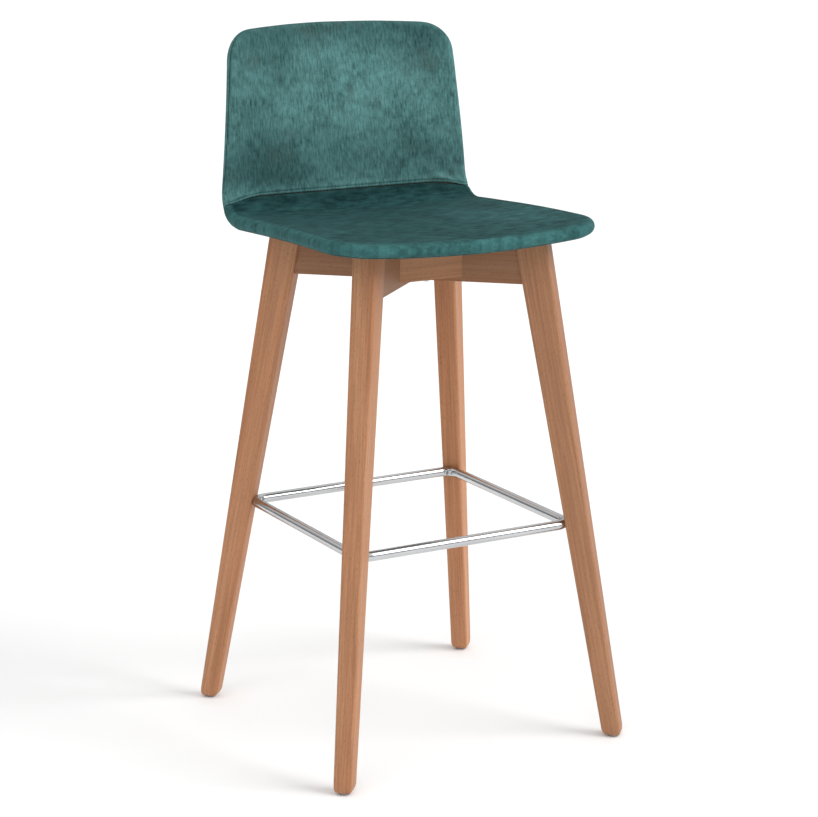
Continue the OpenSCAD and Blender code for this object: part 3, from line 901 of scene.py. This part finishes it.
def paint_cover(bm, spot, out, panel):
    """Lays out the cloth's own coordinates, in metres, and marks the rolled edge,
    which is painted lighter as a painted sheen, and the soft spots that darken or
    lighten the cloth, with painted shade along the seam and under the fold."""
    cloth = bm.loops.layers.uv.new("cloth")
    rolled = bm.verts.layers.float.new("rolled_edge_sheen")
    spots_and_shade = bm.verts.layers.float.new("spots_and_shade")
    for v in bm.verts:
        x, s, angle = v[spot]
        turn = math.pi / 2 - abs(angle) if v[out].length > 0.5 else 0.0
        v[rolled] = min(1.0, 0.25 + turn / 0.8) if turn else 0.0
        for cx, cs, width, height, depth in TONE_SPOTS_AND_SHADE[panel]:
            away = ((x - cx) / width) ** 2 + ((s - cs) / height) ** 2
            v[spots_and_shade] += depth * math.exp(-away)
        # The seam and the row of stitches are painted darker: partly painted shade in their grooves,
        # partly pile pressed flat by the seam.
        if panel != "rear":
            rise = s - seam_at(x / evenly(s, HALF_WIDTHS))
            for row in (0.0, STITCH_RISE):
                v[spots_and_shade] += SEAM_SHADE * math.exp(-(((rise - row) / SEAM_LINE) ** 2))
        v[spots_and_shade] = min(MOST_DARKENING, v[spots_and_shade])
    for face in bm.faces:
        for loop in face.loops:
            x, s, angle = loop.vert[spot]
            way = loop.vert[out]
            run = RIM_R * abs(math.pi / 2 - abs(angle))
            loop[cloth].uv = (x + way.x * run, s + way.y * run)


def finish_piece(bm, name, material):
    """Turns a bmesh into an object that rides on the stool."""
    for face in bm.faces:
        face.smooth = True
    mesh = bpy.data.meshes.new(name)
    bm.to_mesh(mesh)
    bm.free()
    piece = bpy.data.objects.new(name, mesh)
    bpy.context.scene.collection.objects.link(piece)
    mesh.materials.append(material)
    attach(piece, "root")
    return piece


def make_cover(name, panel, ends, easing, size, loops, is_free, thickness):
    """A whole cover: grid, rolled edges, soft shape and thickness."""
    bm = bmesh.new()
    side = -1 if panel == "rear" else 1
    spot = start_cover(bm, *size, ends, easing, side)
    out = roll_edges(bm, spot, loops, is_free, EDGE_GAP * side)
    shape_cover(bm, spot, out, None if panel == "rear" else panel, RIM_R)
    bmesh.ops.recalc_face_normals(bm, faces=bm.faces)
    bm.faces.ensure_lookup_table()
    sample = min(bm.faces, key=lambda f: abs(f.verts[0][spot].x) + f.verts[0][out].length)
    away = shell_frame(*sample.verts[0][spot].xy)[3] * side
    if sample.normal.dot(away) < 0:
        bmesh.ops.reverse_faces(bm, faces=bm.faces)
    paint_cover(bm, spot, out, panel)
    piece = finish_piece(bm, name, VELVETS[panel])
    wall = piece.modifiers.new("thickness", "SOLIDIFY")
    wall.thickness = thickness
    wall.offset = -1
    fine = piece.modifiers.new("fine", "SUBSURF")
    fine.levels = fine.render_levels = 1
    print(name, "faces before subdivision:", len(piece.data.polygons))
    return piece


# %% Make the two front pads and the rear cover
ROLL_STEPS = 7
FRONT_GRID, REAR_GRID = (64, 60), (64, 90)
SEAM_GAP = 0.00003
PAD_THICKNESS, WRAP_THICKNESS = 0.0080, 0.0010


def off_the_seam(edge, spot):
    """True for a free edge that isn't on the seam in the fold."""
    flat = [v[spot] for v in edge.verts]
    return any(
        abs(p.y - seam_at(p.x / evenly(p.y, HALF_WIDTHS))) > 2 * SEAM_GAP for p in flat
    )


def close_at_seam(t):
    """Spaces the rows of a front cover, closest together at the seam."""
    return 0.14 * t + 0.86 * t**1.6


seat_pad = make_cover(
    "seat_pad",
    "seat",
    lambda u: (seam_at(u) - SEAM_GAP, front_end(u)),
    close_at_seam,
    FRONT_GRID,
    ROLL_STEPS,
    off_the_seam,
    PAD_THICKNESS,
)
back_pad = make_cover(
    "back_pad",
    "back",
    lambda u: (seam_at(u) + SEAM_GAP, top_end(u)),
    close_at_seam,
    FRONT_GRID,
    ROLL_STEPS,
    off_the_seam,
    PAD_THICKNESS,
)
rear_cover = make_cover(
    "rear_cover",
    "rear",
    lambda u: (front_end(u), top_end(u)),
    lambda t: t,
    REAR_GRID,
    ROLL_STEPS,
    lambda edge, spot: True,
    WRAP_THICKNESS,
)
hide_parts("cover_seat", "seat_foam")
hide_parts("cover_back", "back_foam")
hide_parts("cover_rear")

# %% [markdown]
# ## Stitches
#
# A row of stitches runs just above the seam and holds its allowance down. Each stitch
# is a short length of thread pulled into the velvet. There are about ninety, so each
# is a small stretched ball with few faces, turned along the seam.

# %% Stitch the fold
STITCH_PITCH, STITCH_LEN, THREAD_R = 0.0042, 0.0034, 0.0004
STITCHED_U = 0.93
THREAD = make_hard_finish(
    "teal_thread", paint(34, 70, 70), paint(24, 54, 54), 0.0, 0.6, 0.8, (3000, 500), 0.3
)


def stitch_place(u):
    """The point on the back panel's velvet where the row of stitches passes u, and
    the direction out of it."""
    s = seam_at(u) + STITCH_RISE
    x = u * evenly(s, HALF_WIDTHS)
    place, across, up, away = shell_frame(x, s)
    return place + (RIM_R + softness(x, s, "back")) * away, away


def make_stitching():
    """The row of top stitches, as one piece."""
    bm = bmesh.new()
    count = round(2 * STITCHED_U * HALF_WIDTHS[1] / STITCH_PITCH)
    for k in range(count):
        u = STITCHED_U * (2 * (k + 0.5) / count - 1)
        place, away = stitch_place(u)
        along = (stitch_place(u + 0.005)[0] - stitch_place(u - 0.005)[0]).normalized()
        turn = Matrix((along, away.cross(along), away)).transposed().to_4x4()
        size = Matrix.Diagonal((STITCH_LEN / 2, THREAD_R, THREAD_R, 1))
        ball = Matrix.Translation(place) @ turn @ size
        bmesh.ops.create_uvsphere(bm, u_segments=6, v_segments=4, radius=1, matrix=ball)
    print("stitches in the fold:", count)
    return finish_piece(bm, "fold_stitching", THREAD)


make_stitching()
